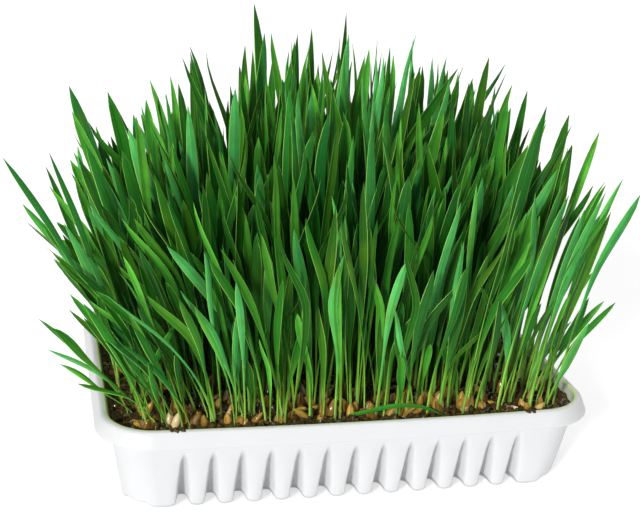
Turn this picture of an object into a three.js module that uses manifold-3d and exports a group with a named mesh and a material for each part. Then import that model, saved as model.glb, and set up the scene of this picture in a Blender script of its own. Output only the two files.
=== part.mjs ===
// A shallow ribbed tray filled with soil, sprouted grains and a dense stand of wheatgrass.
// Millimetres, +Z up, origin at the centre of the tray's underside, front towards -Y.

import * as THREE from 'three';
import { mergeVertices } from 'three/addons/utils/BufferGeometryUtils.js';
import Module from 'manifold-3d';

const wasm = await Module();
wasm.setup();

// Tray: outline of the turned-down rim, measured at its lower edge
const TRAY_LENGTH = 190;
const TRAY_DEPTH = 142;
const TRAY_HEIGHT = 34.5;
const RIM_CORNER_RADIUS = 21;
const RIM_BOW = 2.7;
const BASE_BOW = 0.9;
const RIM_SKIRT_HEIGHT = 5.7;
const RIM_SLOPE_WIDTH = 2.8;
const RIM_TOP_ROUND = 0.6;
const RIM_HOLLOW_OUTER_DEPTH = 1.1;
const RIM_HOLLOW_INNER_DEPTH = 1.3;
const RIM_HOLLOW_CLEARANCE = 0.2;
const RIM_INNER_FLARE = 0.8;
const SHEET = 1.1;

// Tray wall, as insets from the rim outline
const WALL_TOP_INSET = 5.7;
const WALL_BASE_INSET = 10.3;
const WALL_CORNER_RADIUS = 13;
const WALL_CORNER_FLARE = 2;
const WALL_TOP_DROP = 0.2;
const BASE_CHAMFER = 1;
const BASE_CHAMFER_HEIGHT = 1.4;

// Grooves between the ribs
const GROOVE_PITCH = 10.6;
const FRONT_GROOVES = 13;
const END_GROOVES = 9;
const GROOVE_DEPTH = 6.4;
const GROOVE_FOOT_DEPTH = 6;
const GROOVE_MIDDLE_DEPTH = 3.4;
const GROOVE_MIDDLE_HEIGHT = 17.5;
const GROOVE_ARCH_FOOT = 19.5;
const GROOVE_ARCH_TOP = 24.6;
const GROOVE_HALF_WIDTH_TOP = 3;
const GROOVE_HALF_WIDTH_BASE = 3.8;
const GROOVE_SHOULDER = 0.56;
const GROOVE_SHOULDER_DEPTH = 0.76;
const CORNER_STEPS = 4;

// Where the smooth stretches of the long and the short sides have their points
const LONG_SIDE_PLACES = [-50, -25, 0, 25, 50];
const SHORT_SIDE_PLACES = [-25, 0, 25];

// Soil
const SOIL_TOP = 31;
const SOIL_GAP = 0.3;
const SOIL_RIB_CLEARANCE = 0.4;
const SOIL_SHOULDER_RISE = 0.6;
const SOIL_SEED = 71;
const CLOD_COUNT = 26;
const CLOD_STRIPS = 8;
const CLOD_REACH = 72;
const CLOD_RADIUS_MIN = 1.2;
const CLOD_RADIUS_MAX = 1.8;

// Grass rows: each row of blades shares one root band, sunk in a slot of the soil
const ROWS = 18;
const ROW_PITCH = 7;
const BLADES_PER_ROW = 13;
const ROW_HALF_LENGTH = 84;
const OUTER_ROW_HALF_LENGTH = 80;
const BAND_WIDTH = 2.6;
const BAND_TOP = SOIL_TOP - 0.5;
const BAND_HEIGHT = 7;
const BAND_OVERHANG = 2;
const GRASS_SEED = 1000;
const GRASS_SEED_STEP = 37;

// Heights of the blades
const TALLEST = 143;
const LEFT_DROP = 40;
const LEFT_DROP_POWER = 1.5;
const RIGHT_DROP = 28;
const RIGHT_DROP_POWER = 2;
const FRONT_ROW_SHARE = 0.62;
const FRONT_ROW_END_SHARE = 0.86;
const FRONT_END_FROM = 0.3;
const FRONT_END_TO = 0.9;
const FRONT_PLACE = -66;
const FULL_PLACE = 6;
const GROWN_LEAST = 0.68;
const GROWN_POWER = 3;

// How the blades of a row stand
const LEFT_REACH = 24;
const RIGHT_REACH = 18;
const LEAN_JITTER = 0.16;
const PLACE_JITTER = 0.3;
const STAGGER_LEAST = 0.15;
const STAGGER_SPREAD = 0.7;
const STAGGER_STEP = 0.618;
const ROOT_MARGIN = 1.5;
const ROW_MARGIN = 1.1;
const DRIFT = 1.6;
const FACING_SHARE = 0.8;
const FACING_LIMIT = 0.9;
const TWIST = 0.25;
const ROW_FAN = 0.33;
const ROW_FAN_POWER = 1.5;
const SWAY = 1.6;
const SWAY_PER_X = 0.045;
const SWAY_PER_Z = 0.02;
const SWAY_PHASE = 1;

// Shape of a blade: a narrow stem that opens into a leaf
const BLADE_WIDTH_MIN = 3.8;
const BLADE_WIDTH_MAX = 6.2;
const BLADE_KEEL = 1.2;
const KEEL_FRONT_SHARE = 0.4;
const BLADE_BEND = 0.55;
const BLADE_RINGS = [
  { along: 0, width: 0.34 },
  { along: 0.34, width: 0.4 },
  { along: 0.62, width: 1 },
  { along: 0.84, width: 0.7 },
];

// Blades that hang out over the two ends
const SIDE_BLADE_FACING = 0.3;
const SIDE_BLADES = [
  { row: 2, rootX: -82, tipX: -115, height: 40, width: 4.4 },
  { row: 4, rootX: -83, tipX: -109, height: 22, width: 4 },
  { row: 5, rootX: -84, tipX: -107, height: 96, width: 4.6 },
  { row: 6, rootX: -84, tipX: -124, height: 92, width: 4.6 },
  { row: 10, rootX: -84, tipX: -117, height: 66, width: 4.8 },
  { row: 11, rootX: -84, tipX: -111, height: 79, width: 4.4 },
  { row: 2, rootX: 82, tipX: 106, height: 38, width: 4.4 },
  { row: 3, rootX: 83, tipX: 112, height: 36, width: 4.6 },
  { row: 4, rootX: 83, tipX: 102, height: 46, width: 4.2 },
  { row: 3, rootX: 83, tipX: 112, height: 87, width: 4.8 },
  { row: 5, rootX: 84, tipX: 108, height: 80, width: 4.4 },
  { row: 6, rootX: 83, tipX: 105, height: 100, width: 4.6 },
];

// The fallen blade, with its path from the root band as places to the side, forward and up
const FALLEN_THICKNESS = 1;
const FALLEN_WIDTH = 2.2;
const FALLEN_STEPS = 8;
const FALLEN_PATH = [
  [-2, 0, -2.5],
  [-1, 0, 1.5],
  [7.4, 2.4, 2.6],
  [20.4, 3.4, 4.6],
  [37, 3.6, 2],
];

// Grains
const GRAIN_LENGTH = 8;
const GRAIN_WIDTH = 3.3;
const GRAINS_PER_CLUSTER = 4;
const GRAIN_STEP = 0.62;
const GRAIN_TILT = 0.7;
const GRAIN_LIFT = 1.3;
const GRAIN_SIDES = 6;
const GRAIN_RINGS = 4;
const GRAIN_SEED = 500;
const CLUSTER_LENGTH = GRAIN_LENGTH * GRAIN_STEP * (GRAINS_PER_CLUSTER - 1);
const CLUSTERS = [
  { strip: 0, x: -66 },
  { strip: 0, x: 8 },
  { strip: 1, x: -38 },
  { strip: 1, x: 44 },
  { strip: 2, x: -72 },
  { strip: 2, x: 18 },
  { strip: 3, x: -20 },
  { strip: 3, x: 58 },
  { strip: 5, x: -62 },
  { strip: 6, x: 30 },
];

const HALF_LENGTH = TRAY_LENGTH / 2;
const HALF_DEPTH = TRAY_DEPTH / 2;
const SKIRT_FOOT = TRAY_HEIGHT - RIM_SKIRT_HEIGHT;

// A repeatable random draw between 0 and 1
function makeRandom(seed) {
  let state = seed >>> 0;
  return () => {
    state = (Math.imul(state, 1664525) + 1013904223) >>> 0;
    return (state >>> 8) / 16777216;
  };
}

// Solids: a closed geometry becomes a manifold solid, and back again
function toSolid(geometry) {
  const bare = geometry.clone();
  bare.deleteAttribute('normal');
  bare.deleteAttribute('uv');
  const merged = mergeVertices(bare, 1e-4);
  return new wasm.Manifold(new wasm.Mesh({
    numProp: 3,
    vertProperties: new Float32Array(merged.attributes.position.array),
    triVerts: new Uint32Array(merged.index.array),
  }));
}

function toGeometry(solid) {
  const mesh = solid.getMesh();
  const geometry = new THREE.BufferGeometry();
  geometry.setAttribute('position', new THREE.BufferAttribute(new Float32Array(mesh.vertProperties), 3));
  geometry.setIndex(new THREE.BufferAttribute(new Uint32Array(mesh.triVerts), 1));
  return geometry;
}

// Stations round the tray: where an outline has its points. A station on a side has a place
// along that side, one in a corner has an angle, and `order` runs round the tray.
const SIDES = [
  { across: [0, -1], along: [1, 0], half: HALF_LENGTH, reach: HALF_DEPTH, grooves: FRONT_GROOVES },
  { across: [1, 0], along: [0, 1], half: HALF_DEPTH, reach: HALF_LENGTH, grooves: END_GROOVES },
  { across: [0, 1], along: [-1, 0], half: HALF_LENGTH, reach: HALF_DEPTH, grooves: FRONT_GROOVES },
  { across: [-1, 0], along: [0, -1], half: HALF_DEPTH, reach: HALF_LENGTH, grooves: END_GROOVES },
];

// Along a side the order runs from 0 to 1, and round its corner over the next half
const CORNER_ORDER = 1;
const ORDER_PER_SIDE = 2;

function cornerStations(side) {
  const stations = [];
  for (let step = 0; step <= CORNER_STEPS; step++) {
    stations.push({ side, corner: true, turn: step / CORNER_STEPS });
  }
  return stations;
}

// Points at the edges, shoulders and middle of every groove
function ribbedStations() {
  const profile = [
    { offset: -1, depth: 0 },
    { offset: -GROOVE_SHOULDER, depth: GROOVE_SHOULDER_DEPTH },
    { offset: 0, depth: 1 },
    { offset: GROOVE_SHOULDER, depth: GROOVE_SHOULDER_DEPTH },
    { offset: 1, depth: 0 },
  ];
  return SIDES.flatMap((shape, side) => {
    const stations = [];
    for (let groove = 0; groove < shape.grooves; groove++) {
      const centre = (groove - (shape.grooves - 1) / 2) * GROOVE_PITCH;
      for (const point of profile) {
        stations.push({ side, corner: false, centre, ...point });
      }
    }
    return [...stations, ...cornerStations(side)];
  });
}

// A few points a side, for the smooth stretches
function plainStations() {
  return SIDES.flatMap((shape, side) => {
    const places = shape.grooves === FRONT_GROOVES ? LONG_SIDE_PLACES : SHORT_SIDE_PLACES;
    const stations = places.map((centre) => ({ side, corner: false, centre, offset: 0, depth: 0 }));
    return [...stations, ...cornerStations(side)];
  });
}

function mix(from, to, share) {
  return from + (to - from) * share;
}

// One outline of the tray at an inset from the rim's lower edge. `depth` is how far the
// grooves are sunk there, and `height` gives the height of each station.
function outline(stations, { inset, radius, height, depth = 0 }) {
  return stations.map((station) => {
    const { across, along, half, reach } = SIDES[station.side];
    const groove = station.corner ? 0 : station.depth;
    const z = height(groove);
    const here = inset(z);
    const rise = Math.min(z / SKIRT_FOOT, 1);
    const halfWidth = mix(GROOVE_HALF_WIDTH_BASE, GROOVE_HALF_WIDTH_TOP, rise);
    let forward;
    let outward;
    if (station.corner) {
      const angle = station.turn * Math.PI / 2;
      forward = half - here - radius + radius * Math.sin(angle);
      outward = reach - here - radius + radius * Math.cos(angle);
    } else {
      forward = station.centre + station.offset * halfWidth;
      outward = reach - here - depth * groove;
    }
    const x = across[0] * outward + along[0] * forward;
    const y = across[1] * outward + along[1] * forward;
    const bow = mix(BASE_BOW, RIM_BOW, rise) * Math.max(0, 1 - (x / (HALF_LENGTH - here)) ** 2);
    const part = station.corner ? CORNER_ORDER + station.turn / 2 : (1 + forward / half) / 2;
    const order = station.side * ORDER_PER_SIDE + part;
    return { point: new THREE.Vector3(x, y + Math.sign(y) * bow, z), order };
  });
}

// Joins a stack of outlines into one closed shell, from its first cap to its last
function loft(outlines) {
  const points = outlines.flatMap((line) => line.map((entry) => entry.point));
  const starts = [];
  let total = 0;
  for (const line of outlines) {
    starts.push(total);
    total += line.length;
  }
  const faces = [];
  for (let level = 0; level + 1 < outlines.length; level++) {
    stitch(outlines[level], outlines[level + 1], starts[level], starts[level + 1], faces);
  }
  capOutline(outlines[0], starts[0], -1, faces);
  capOutline(outlines.at(-1), starts.at(-1), 1, faces);
  const geometry = new THREE.BufferGeometry().setFromPoints(points);
  geometry.setIndex(faces);
  return geometry;
}

function stitch(lower, upper, lowerStart, upperStart, faces) {
  const lap = SIDES.length * ORDER_PER_SIDE;
  const orderAt = (line, i) => line[i % line.length].order + (i >= line.length ? lap : 0);
  let i = 0;
  let j = 0;
  while (i < lower.length || j < upper.length) {
    const a = lowerStart + (i % lower.length);
    const b = upperStart + (j % upper.length);
    const nextLower = i < lower.length ? orderAt(lower, i + 1) : Infinity;
    const nextUpper = j < upper.length ? orderAt(upper, j + 1) : Infinity;
    if (nextLower <= nextUpper) {
      faces.push(a, lowerStart + ((i + 1) % lower.length), b);
      i++;
    } else {
      faces.push(a, upperStart + ((j + 1) % upper.length), b);
      j++;
    }
  }
}

function capOutline(line, start, facing, faces) {
  const flat = line.map(({ point }) => new THREE.Vector2(point.x, point.y));
  for (const [a, b, c] of THREE.ShapeUtils.triangulateShape(flat, [])) {
    const turn = THREE.ShapeUtils.area([flat[a], flat[b], flat[c]]);
    if (turn * facing > 0) {
      faces.push(start + a, start + b, start + c);
    } else {
      faces.push(start + a, start + c, start + b);
    }
  }
}

// Inset of the wall's outer face at a height
function wallInset(z) {
  return mix(WALL_BASE_INSET, WALL_TOP_INSET, Math.min(z / SKIRT_FOOT, 1));
}

function trayGeometry() {
  const ribbed = ribbedStations();
  const plain = plainStations();
  const archHeight = (groove) => mix(GROOVE_ARCH_FOOT, GROOVE_ARCH_TOP, groove);
  const ribbedAt = (z, extra, depth, radius) => outline(ribbed, {
    inset: (height) => wallInset(height) + extra, radius, height: () => z, depth,
  });
  const archAt = (extra, radius) => outline(ribbed, {
    inset: (height) => wallInset(height) + extra, radius, height: archHeight,
  });
  const plainAt = (z, inset, radius) => outline(plain, {
    inset: () => inset, radius, height: () => z,
  });
  const lip = RIM_SLOPE_WIDTH + RIM_TOP_ROUND;
  const wallTop = SKIRT_FOOT - WALL_TOP_DROP;
  const hollowOuter = lip + RIM_HOLLOW_CLEARANCE;
  const hollowInner = WALL_TOP_INSET - RIM_INNER_FLARE;
  const innerRadius = WALL_CORNER_RADIUS - SHEET;
  const chamferRadius = WALL_CORNER_RADIUS - BASE_CHAMFER;
  return loft([
    ribbedAt(0, BASE_CHAMFER, GROOVE_FOOT_DEPTH, chamferRadius),
    ribbedAt(BASE_CHAMFER_HEIGHT, 0, GROOVE_DEPTH, WALL_CORNER_RADIUS),
    ribbedAt(GROOVE_MIDDLE_HEIGHT, 0, GROOVE_MIDDLE_DEPTH, WALL_CORNER_RADIUS),
    archAt(0, WALL_CORNER_RADIUS),
    plainAt(wallTop, WALL_TOP_INSET, WALL_CORNER_RADIUS),
    plainAt(TRAY_HEIGHT - RIM_HOLLOW_INNER_DEPTH, hollowInner, WALL_CORNER_RADIUS + WALL_CORNER_FLARE),
    plainAt(TRAY_HEIGHT - RIM_HOLLOW_OUTER_DEPTH, hollowOuter, RIM_CORNER_RADIUS - lip),
    plainAt(SKIRT_FOOT, SHEET, RIM_CORNER_RADIUS - SHEET),
    plainAt(SKIRT_FOOT, 0, RIM_CORNER_RADIUS),
    plainAt(TRAY_HEIGHT - RIM_TOP_ROUND, RIM_SLOPE_WIDTH, RIM_CORNER_RADIUS - RIM_SLOPE_WIDTH),
    plainAt(TRAY_HEIGHT, lip, RIM_CORNER_RADIUS - lip),
    plainAt(TRAY_HEIGHT, lip + SHEET, RIM_CORNER_RADIUS - lip - SHEET),
    plainAt(TRAY_HEIGHT - RIM_TOP_ROUND, WALL_TOP_INSET - RIM_TOP_ROUND, WALL_CORNER_RADIUS + 1),
    plainAt(wallTop, WALL_TOP_INSET + SHEET, innerRadius),
    archAt(SHEET, innerRadius),
    ribbedAt(GROOVE_MIDDLE_HEIGHT, SHEET, GROOVE_MIDDLE_DEPTH, innerRadius),
    ribbedAt(SHEET, SHEET, GROOVE_DEPTH, innerRadius),
  ]);
}

// The soil keeps clear of the ridges that the grooves make inside the tray
function soilGeometry(rowBoxes) {
  const plain = plainStations();
  const clear = SHEET + SOIL_RIB_CLEARANCE;
  const at = (z, inset) => outline(plain, {
    inset: () => inset, radius: WALL_CORNER_RADIUS - SHEET - SOIL_GAP, height: () => z,
  });
  let soil = toSolid(loft([
    at(SHEET + SOIL_GAP, WALL_BASE_INSET + GROOVE_DEPTH + clear),
    at(GROOVE_MIDDLE_HEIGHT, wallInset(GROOVE_MIDDLE_HEIGHT) + GROOVE_MIDDLE_DEPTH + clear),
    at(GROOVE_ARCH_TOP + SOIL_SHOULDER_RISE, wallInset(GROOVE_ARCH_TOP) + clear),
    at(SOIL_TOP, WALL_TOP_INSET + clear),
  ]));
  const random = makeRandom(SOIL_SEED);
  for (let clod = 0; clod < CLOD_COUNT; clod++) {
    const strip = Math.floor(random() * CLOD_STRIPS);
    const x = (random() * 2 - 1) * CLOD_REACH;
    const radius = mix(CLOD_RADIUS_MIN, CLOD_RADIUS_MAX, random());
    const lump = new THREE.IcosahedronGeometry(radius, 0);
    lump.rotateX(random() * Math.PI);
    lump.translate(x, stripPlace(strip), SOIL_TOP);
    if (clearOfGrains(strip, x)) {
      soil = soil.add(toSolid(lump));
    }
  }
  for (const slot of rowBoxes) {
    soil = soil.subtract(slot);
  }
  return toGeometry(soil);
}

function clearOfGrains(strip, x) {
  return CLUSTERS.every((cluster) => {
    const middle = cluster.x + CLUSTER_LENGTH / 2;
    return cluster.strip !== strip || Math.abs(x - middle) > CLUSTER_LENGTH;
  });
}

function rowPlace(row) {
  return (row - (ROWS - 1) / 2) * ROW_PITCH;
}

// A strip is the bare soil behind a row
function stripPlace(strip) {
  return rowPlace(strip) + ROW_PITCH / 2;
}

function rowHalfLength(row) {
  return row === 0 || row === ROWS - 1 ? OUTER_ROW_HALF_LENGTH : ROW_HALF_LENGTH;
}

// A long upright box along a row: the root band, or the slot that it stands in
function rowBox(row, clearance, top) {
  const foot = BAND_TOP - BAND_HEIGHT - clearance;
  const box = new THREE.BoxGeometry(
    (rowHalfLength(row) + BAND_OVERHANG + clearance) * 2,
    BAND_WIDTH + clearance * 2,
    top - foot,
  );
  box.translate(0, rowPlace(row), (top + foot) / 2);
  return toSolid(box);
}

// Rows fan out to the front and the back with height, and sway together, so that the
// blades of one row never reach the next row
function fannedPlace(place, x, z) {
  const rise = Math.max(0, z - SOIL_TOP) / TALLEST;
  const sway = SWAY * rise * Math.sin(SWAY_PER_X * x + SWAY_PER_Z * z + SWAY_PHASE);
  return place * (1 + ROW_FAN * rise ** ROW_FAN_POWER) + sway;
}

// One blade: a three-sided section along its line, with the keel behind, ending in a point
function bladeGeometry({ rootX, tipX, height, place, drift, width, facing, twist }) {
  const foot = BAND_TOP - BAND_HEIGHT / 2;
  const step = 0.05;
  const behind = BLADE_KEEL * (1 - KEEL_FRONT_SHARE);
  const before = BLADE_KEEL * KEEL_FRONT_SHARE;
  const lineAt = (along) => {
    const x = mix(rootX, tipX, mix(along, along * along, BLADE_BEND));
    const z = along === 0 ? foot : SOIL_TOP + height * along;
    const y = fannedPlace(place, x, z) + drift * Math.min(1, 2 * along);
    return new THREE.Vector3(x, y, z);
  };
  const points = [];
  for (const ring of BLADE_RINGS) {
    const here = lineAt(ring.along);
    const ahead = lineAt(ring.along + step).sub(here).normalize();
    const side = new THREE.Vector3().crossVectors(ahead, new THREE.Vector3(0, -1, 0)).normalize();
    side.applyAxisAngle(ahead, facing + twist * ring.along);
    const front = new THREE.Vector3().crossVectors(side, ahead).normalize();
    const half = width * ring.width / 2;
    points.push(here.clone().addScaledVector(side, -half).addScaledVector(front, before));
    points.push(here.clone().addScaledVector(side, half).addScaledVector(front, before));
    points.push(here.clone().addScaledVector(front, -behind));
  }
  points.push(lineAt(1));
  const faces = [0, 2, 1];
  const last = BLADE_RINGS.length - 1;
  for (let ring = 0; ring < last; ring++) {
    for (let corner = 0; corner < 3; corner++) {
      const a = ring * 3 + corner;
      const b = ring * 3 + (corner + 1) % 3;
      faces.push(a, b, a + 3, b, b + 3, a + 3);
    }
  }
  for (let corner = 0; corner < 3; corner++) {
    faces.push(last * 3 + corner, last * 3 + (corner + 1) % 3, points.length - 1);
  }
  const geometry = new THREE.BufferGeometry().setFromPoints(points);
  geometry.setIndex(faces);
  return geometry;
}

// Front rows are shorter but at the right, and every row drops towards its two ends
function fullHeight(place, share) {
  const back = THREE.MathUtils.smoothstep(place, FRONT_PLACE, FULL_PLACE);
  const end = THREE.MathUtils.smoothstep(share, FRONT_END_FROM, FRONT_END_TO);
  const middle = TALLEST * mix(mix(FRONT_ROW_SHARE, FRONT_ROW_END_SHARE, end), 1, back);
  if (share < 0) {
    return middle - LEFT_DROP * (-share) ** LEFT_DROP_POWER;
  }
  return middle - RIGHT_DROP * share ** RIGHT_DROP_POWER;
}

// Blades stand upright in the middle and reach outwards towards the two ends
function rowReach(share) {
  return (share < 0 ? LEFT_REACH : RIGHT_REACH) * share * Math.sqrt(Math.abs(share));
}

function rowBlades(row) {
  const random = makeRandom(GRASS_SEED + row * GRASS_SEED_STEP);
  const place = rowPlace(row);
  const stagger = STAGGER_LEAST + STAGGER_SPREAD * ((row * STAGGER_STEP) % 1);
  const blades = [];
  for (let blade = 0; blade < BLADES_PER_ROW; blade++) {
    const step = blade + stagger + PLACE_JITTER * (random() - 0.5);
    const share = THREE.MathUtils.clamp(step / BLADES_PER_ROW * 2 - 1, -1, 1);
    const height = fullHeight(place, share) * mix(GROWN_LEAST, 1, random() ** GROWN_POWER);
    const rootX = share * (rowHalfLength(row) - ROOT_MARGIN);
    const tipX = rootX + rowReach(share) + LEAN_JITTER * (random() - 0.5) * height;
    const width = mix(BLADE_WIDTH_MIN, BLADE_WIDTH_MAX, random());
    const drift = DRIFT * (random() - 0.5);
    const room = (ROW_PITCH / 2 - ROW_MARGIN - Math.abs(drift)) / (width / 2);
    const turn = Math.asin(Math.min(FACING_LIMIT, room)) * FACING_SHARE;
    const facing = turn * (random() * 2 - 1);
    const twist = TWIST * (random() - 0.5);
    blades.push({ rootX, tipX, height, place, drift, width, facing, twist });
  }
  return blades;
}

// A blade at an end of the tray, which hangs out over the rim
function sideBlade({ row, rootX, tipX, height, width }) {
  const place = rowPlace(row);
  return { rootX, tipX, height, place, drift: 0, width, facing: SIDE_BLADE_FACING, twist: 0 };
}

// A blade that has fallen over: it rises out of the front band and arches low along the rim
function fallenBladeGeometry() {
  const path = new THREE.CatmullRomCurve3(FALLEN_PATH.map(([aside, forward, up]) => (
    new THREE.Vector3(aside, rowPlace(0) - forward, SOIL_TOP + up)
  )));
  const section = new THREE.Shape();
  section.moveTo(-FALLEN_THICKNESS / 2, -FALLEN_WIDTH / 2);
  section.lineTo(FALLEN_THICKNESS / 2, -FALLEN_WIDTH / 2);
  section.lineTo(FALLEN_THICKNESS / 2, FALLEN_WIDTH / 2);
  section.lineTo(-FALLEN_THICKNESS / 2, FALLEN_WIDTH / 2);
  section.closePath();
  return new THREE.ExtrudeGeometry(section, { steps: FALLEN_STEPS, extrudePath: path });
}

function grassRowGeometry(row) {
  let grass = rowBox(row, 0, BAND_TOP);
  const low = SIDE_BLADES.filter((blade) => blade.row === row).map(sideBlade);
  for (const blade of [...rowBlades(row), ...low]) {
    grass = grass.add(toSolid(bladeGeometry(blade)));
  }
  if (row === 0) {
    grass = grass.add(toSolid(fallenBladeGeometry()));
  }
  return toGeometry(grass);
}

// Grains that touch end to end, lying between two rows and cut flat just above the soil
function grainClusterGeometry(strip, startX, seed) {
  const random = makeRandom(seed);
  const above = new THREE.BoxGeometry(TRAY_LENGTH, TRAY_DEPTH, TRAY_HEIGHT);
  above.translate(0, 0, SOIL_TOP + SOIL_GAP + TRAY_HEIGHT / 2);
  let cluster = null;
  let x = startX;
  for (let grain = 0; grain < GRAINS_PER_CLUSTER; grain++) {
    const tilt = (random() - 0.5) * GRAIN_TILT;
    const body = new THREE.SphereGeometry(0.5, GRAIN_SIDES, GRAIN_RINGS);
    body.scale(GRAIN_WIDTH, GRAIN_LENGTH, GRAIN_WIDTH);
    body.rotateZ(Math.PI / 2);
    body.rotateY(tilt);
    body.translate(x, stripPlace(strip), SOIL_TOP + GRAIN_LIFT + Math.abs(tilt));
    const solid = toSolid(body);
    cluster = cluster ? cluster.add(solid) : solid;
    x += GRAIN_LENGTH * GRAIN_STEP;
  }
  return toGeometry(cluster.intersect(toSolid(above)));
}

const materials = {
  tray: new THREE.MeshStandardMaterial({ color: 0xf2f3f1, roughness: 0.38, metalness: 0 }),
  soil: new THREE.MeshStandardMaterial({ color: 0x2a1d10, roughness: 0.9, metalness: 0 }),
  grain: new THREE.MeshStandardMaterial({ color: 0xb98a3e, roughness: 0.55, metalness: 0 }),
  grass: new THREE.MeshStandardMaterial({ color: 0x2f7d26, roughness: 0.5, metalness: 0 }),
};

function named(name, geometry, material) {
  const mesh = new THREE.Mesh(geometry, material);
  mesh.name = name;
  return mesh;
}

function twoDigits(number) {
  return String(number).padStart(2, '0');
}

const group = new THREE.Group();
group.add(named('tray', trayGeometry(), materials.tray));

const slots = [];
for (let row = 0; row < ROWS; row++) {
  slots.push(rowBox(row, SOIL_GAP, SOIL_TOP + GRAIN_LENGTH));
}
group.add(named('soil', soilGeometry(slots), materials.soil));

for (let row = 0; row < ROWS; row++) {
  group.add(named(`grass_row_${twoDigits(row + 1)}`, grassRowGeometry(row), materials.grass));
}

CLUSTERS.forEach(({ strip, x }, index) => {
  const geometry = grainClusterGeometry(strip, x, GRAIN_SEED + index);
  group.add(named(`grain_cluster_${twoDigits(index + 1)}`, geometry, materials.grain));
});

export default group;
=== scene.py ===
"""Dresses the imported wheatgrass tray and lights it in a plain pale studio.

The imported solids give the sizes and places. The tray, the soil, the grains and every row of
grass are replaced by finer pieces of the same form. Lengths are in metres.
"""

import math

import bpy
import numpy as np
from mathutils import Matrix, Vector, noise


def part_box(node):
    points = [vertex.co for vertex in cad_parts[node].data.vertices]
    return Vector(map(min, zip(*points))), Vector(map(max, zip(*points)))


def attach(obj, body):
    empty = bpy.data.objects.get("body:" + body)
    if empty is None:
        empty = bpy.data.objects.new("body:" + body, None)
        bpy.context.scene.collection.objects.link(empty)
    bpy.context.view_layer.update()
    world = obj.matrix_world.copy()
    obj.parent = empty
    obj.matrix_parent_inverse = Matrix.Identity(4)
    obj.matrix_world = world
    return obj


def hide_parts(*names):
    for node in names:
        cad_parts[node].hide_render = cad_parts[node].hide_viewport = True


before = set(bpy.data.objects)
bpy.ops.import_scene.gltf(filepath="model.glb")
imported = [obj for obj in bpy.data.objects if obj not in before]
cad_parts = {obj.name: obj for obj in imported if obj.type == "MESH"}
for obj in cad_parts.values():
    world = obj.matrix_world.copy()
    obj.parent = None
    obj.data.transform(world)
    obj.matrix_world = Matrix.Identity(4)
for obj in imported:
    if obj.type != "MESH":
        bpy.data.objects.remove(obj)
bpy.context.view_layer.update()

bl_info = {
    "name": "Wheatgrass Tray",
    "version": (1, 0, 0),
    "blender": (4, 5, 0),
    "location": "View3D > Sidebar > Wheatgrass",
    "description": "Dresses a ribbed tray of sprouted wheatgrass and lights it in a plain studio",
    "category": "Object",
}

BODY = "root"
GRASS_NODES = sorted(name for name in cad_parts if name.startswith("grass_row"))
GRAIN_NODES = sorted(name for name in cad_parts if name.startswith("grain_cluster"))

# The rim's lower edge bounds the tray, and its bow shows at the middle of the long sides
TRAY_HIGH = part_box("tray")[1]
RIM_BOW = 0.0027
BASE_BOW = 0.0009
HALF_LENGTH = TRAY_HIGH.x
HALF_DEPTH = TRAY_HIGH.y - RIM_BOW
TRAY_HEIGHT = TRAY_HIGH.z
SKIRT_FOOT = TRAY_HEIGHT - 0.0057

# The tray's mesh, and the section of its rim
SIDE_GROOVES = 13
END_GROOVES = 9
STATIONS_PER_GROOVE = 18
CORNER_STATIONS = 26
SECTION_STEP = 0.0016
ROUND_STEPS = 5
RIM_SLOPE = 0.0028
LIP = RIM_SLOPE + 0.0006

# Each groove is a pointed arch. Painted shade darkens its left half, the wall's foot and a line
# under the skirt. The inner lip has a painted reflection of the green grass
BOWL_POWER = 1.25
SHALLOW_SHARE = 0.14
FADE_INWARDS = 0.0085
FOOT_HEIGHT = 0.012
FOOT_BAND = 0.0012
FOOT_SHADES = (0.6, 1.6)
FOOT_CORNER_SHADE = 0.4
FULL_SHADE_DEPTH = 0.0016
GROOVE_PAINTED_SHADE = 0.75
SKIRT_SHADE = 0.35
# Strength of the painted grass reflection on the inner lip's top and on the rest of the lip
TOP_GRASS_REFLECTION = 0.9
LIP_GRASS_REFLECTION = 0.3
ARCH_TOP = 0.0242
ARCH_POWER = 3.0
ARCH_HALF_WIDTH = 0.0027
ARCH_LIFT = 0.0016
RIB_ROUND = 0.15
RIB_FOOT_ROUND = 0.0011
CORNER_LIFT = 0.0016

# The soil, with the height and inset of each ring down its sides, and what lies on it
SOIL_TOP = 0.031
SOIL_INSET = 0.0061
SOIL_CORNER = 0.0145
SOIL_SIDES = ((0.0285, 0.0071), (0.025, 0.0082), (0.0175, 0.0122), (0.0015, 0.0186))
SOIL_SIDE_CORNER = 0.0100
SOIL_GRID = (170, 130)
STAND_INSET = 0.012
FRONT_STRIP = 0.035
CORNER_SIZE = 0.020
ROOT_MARGIN = 0.0105
ROOT_STEP = 0.0010
ROOT_RADII = (0.00024, 0.00010)
FINE_CRUMBS = (0.0004, 0.0011)
COARSE_CRUMBS = (0.0011, 0.0019)
FINE_CRUMB_SHARE = 0.8
GRAIN_LEANS = (25, 60, 88)
GRAIN_LEAN_ODDS = (0.3, 0.25, 0.45)
SPILL_RADIUS = 0.0012
SPILLS = (
    (-0.0668, -0.0690, 0.0343), (-0.0646, -0.0686, 0.0343), (0.0652, -0.0686, 0.0343),
    (0.0672, -0.0684, 0.0342), (-0.0688, -0.0684, 0.0342),
)

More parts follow.
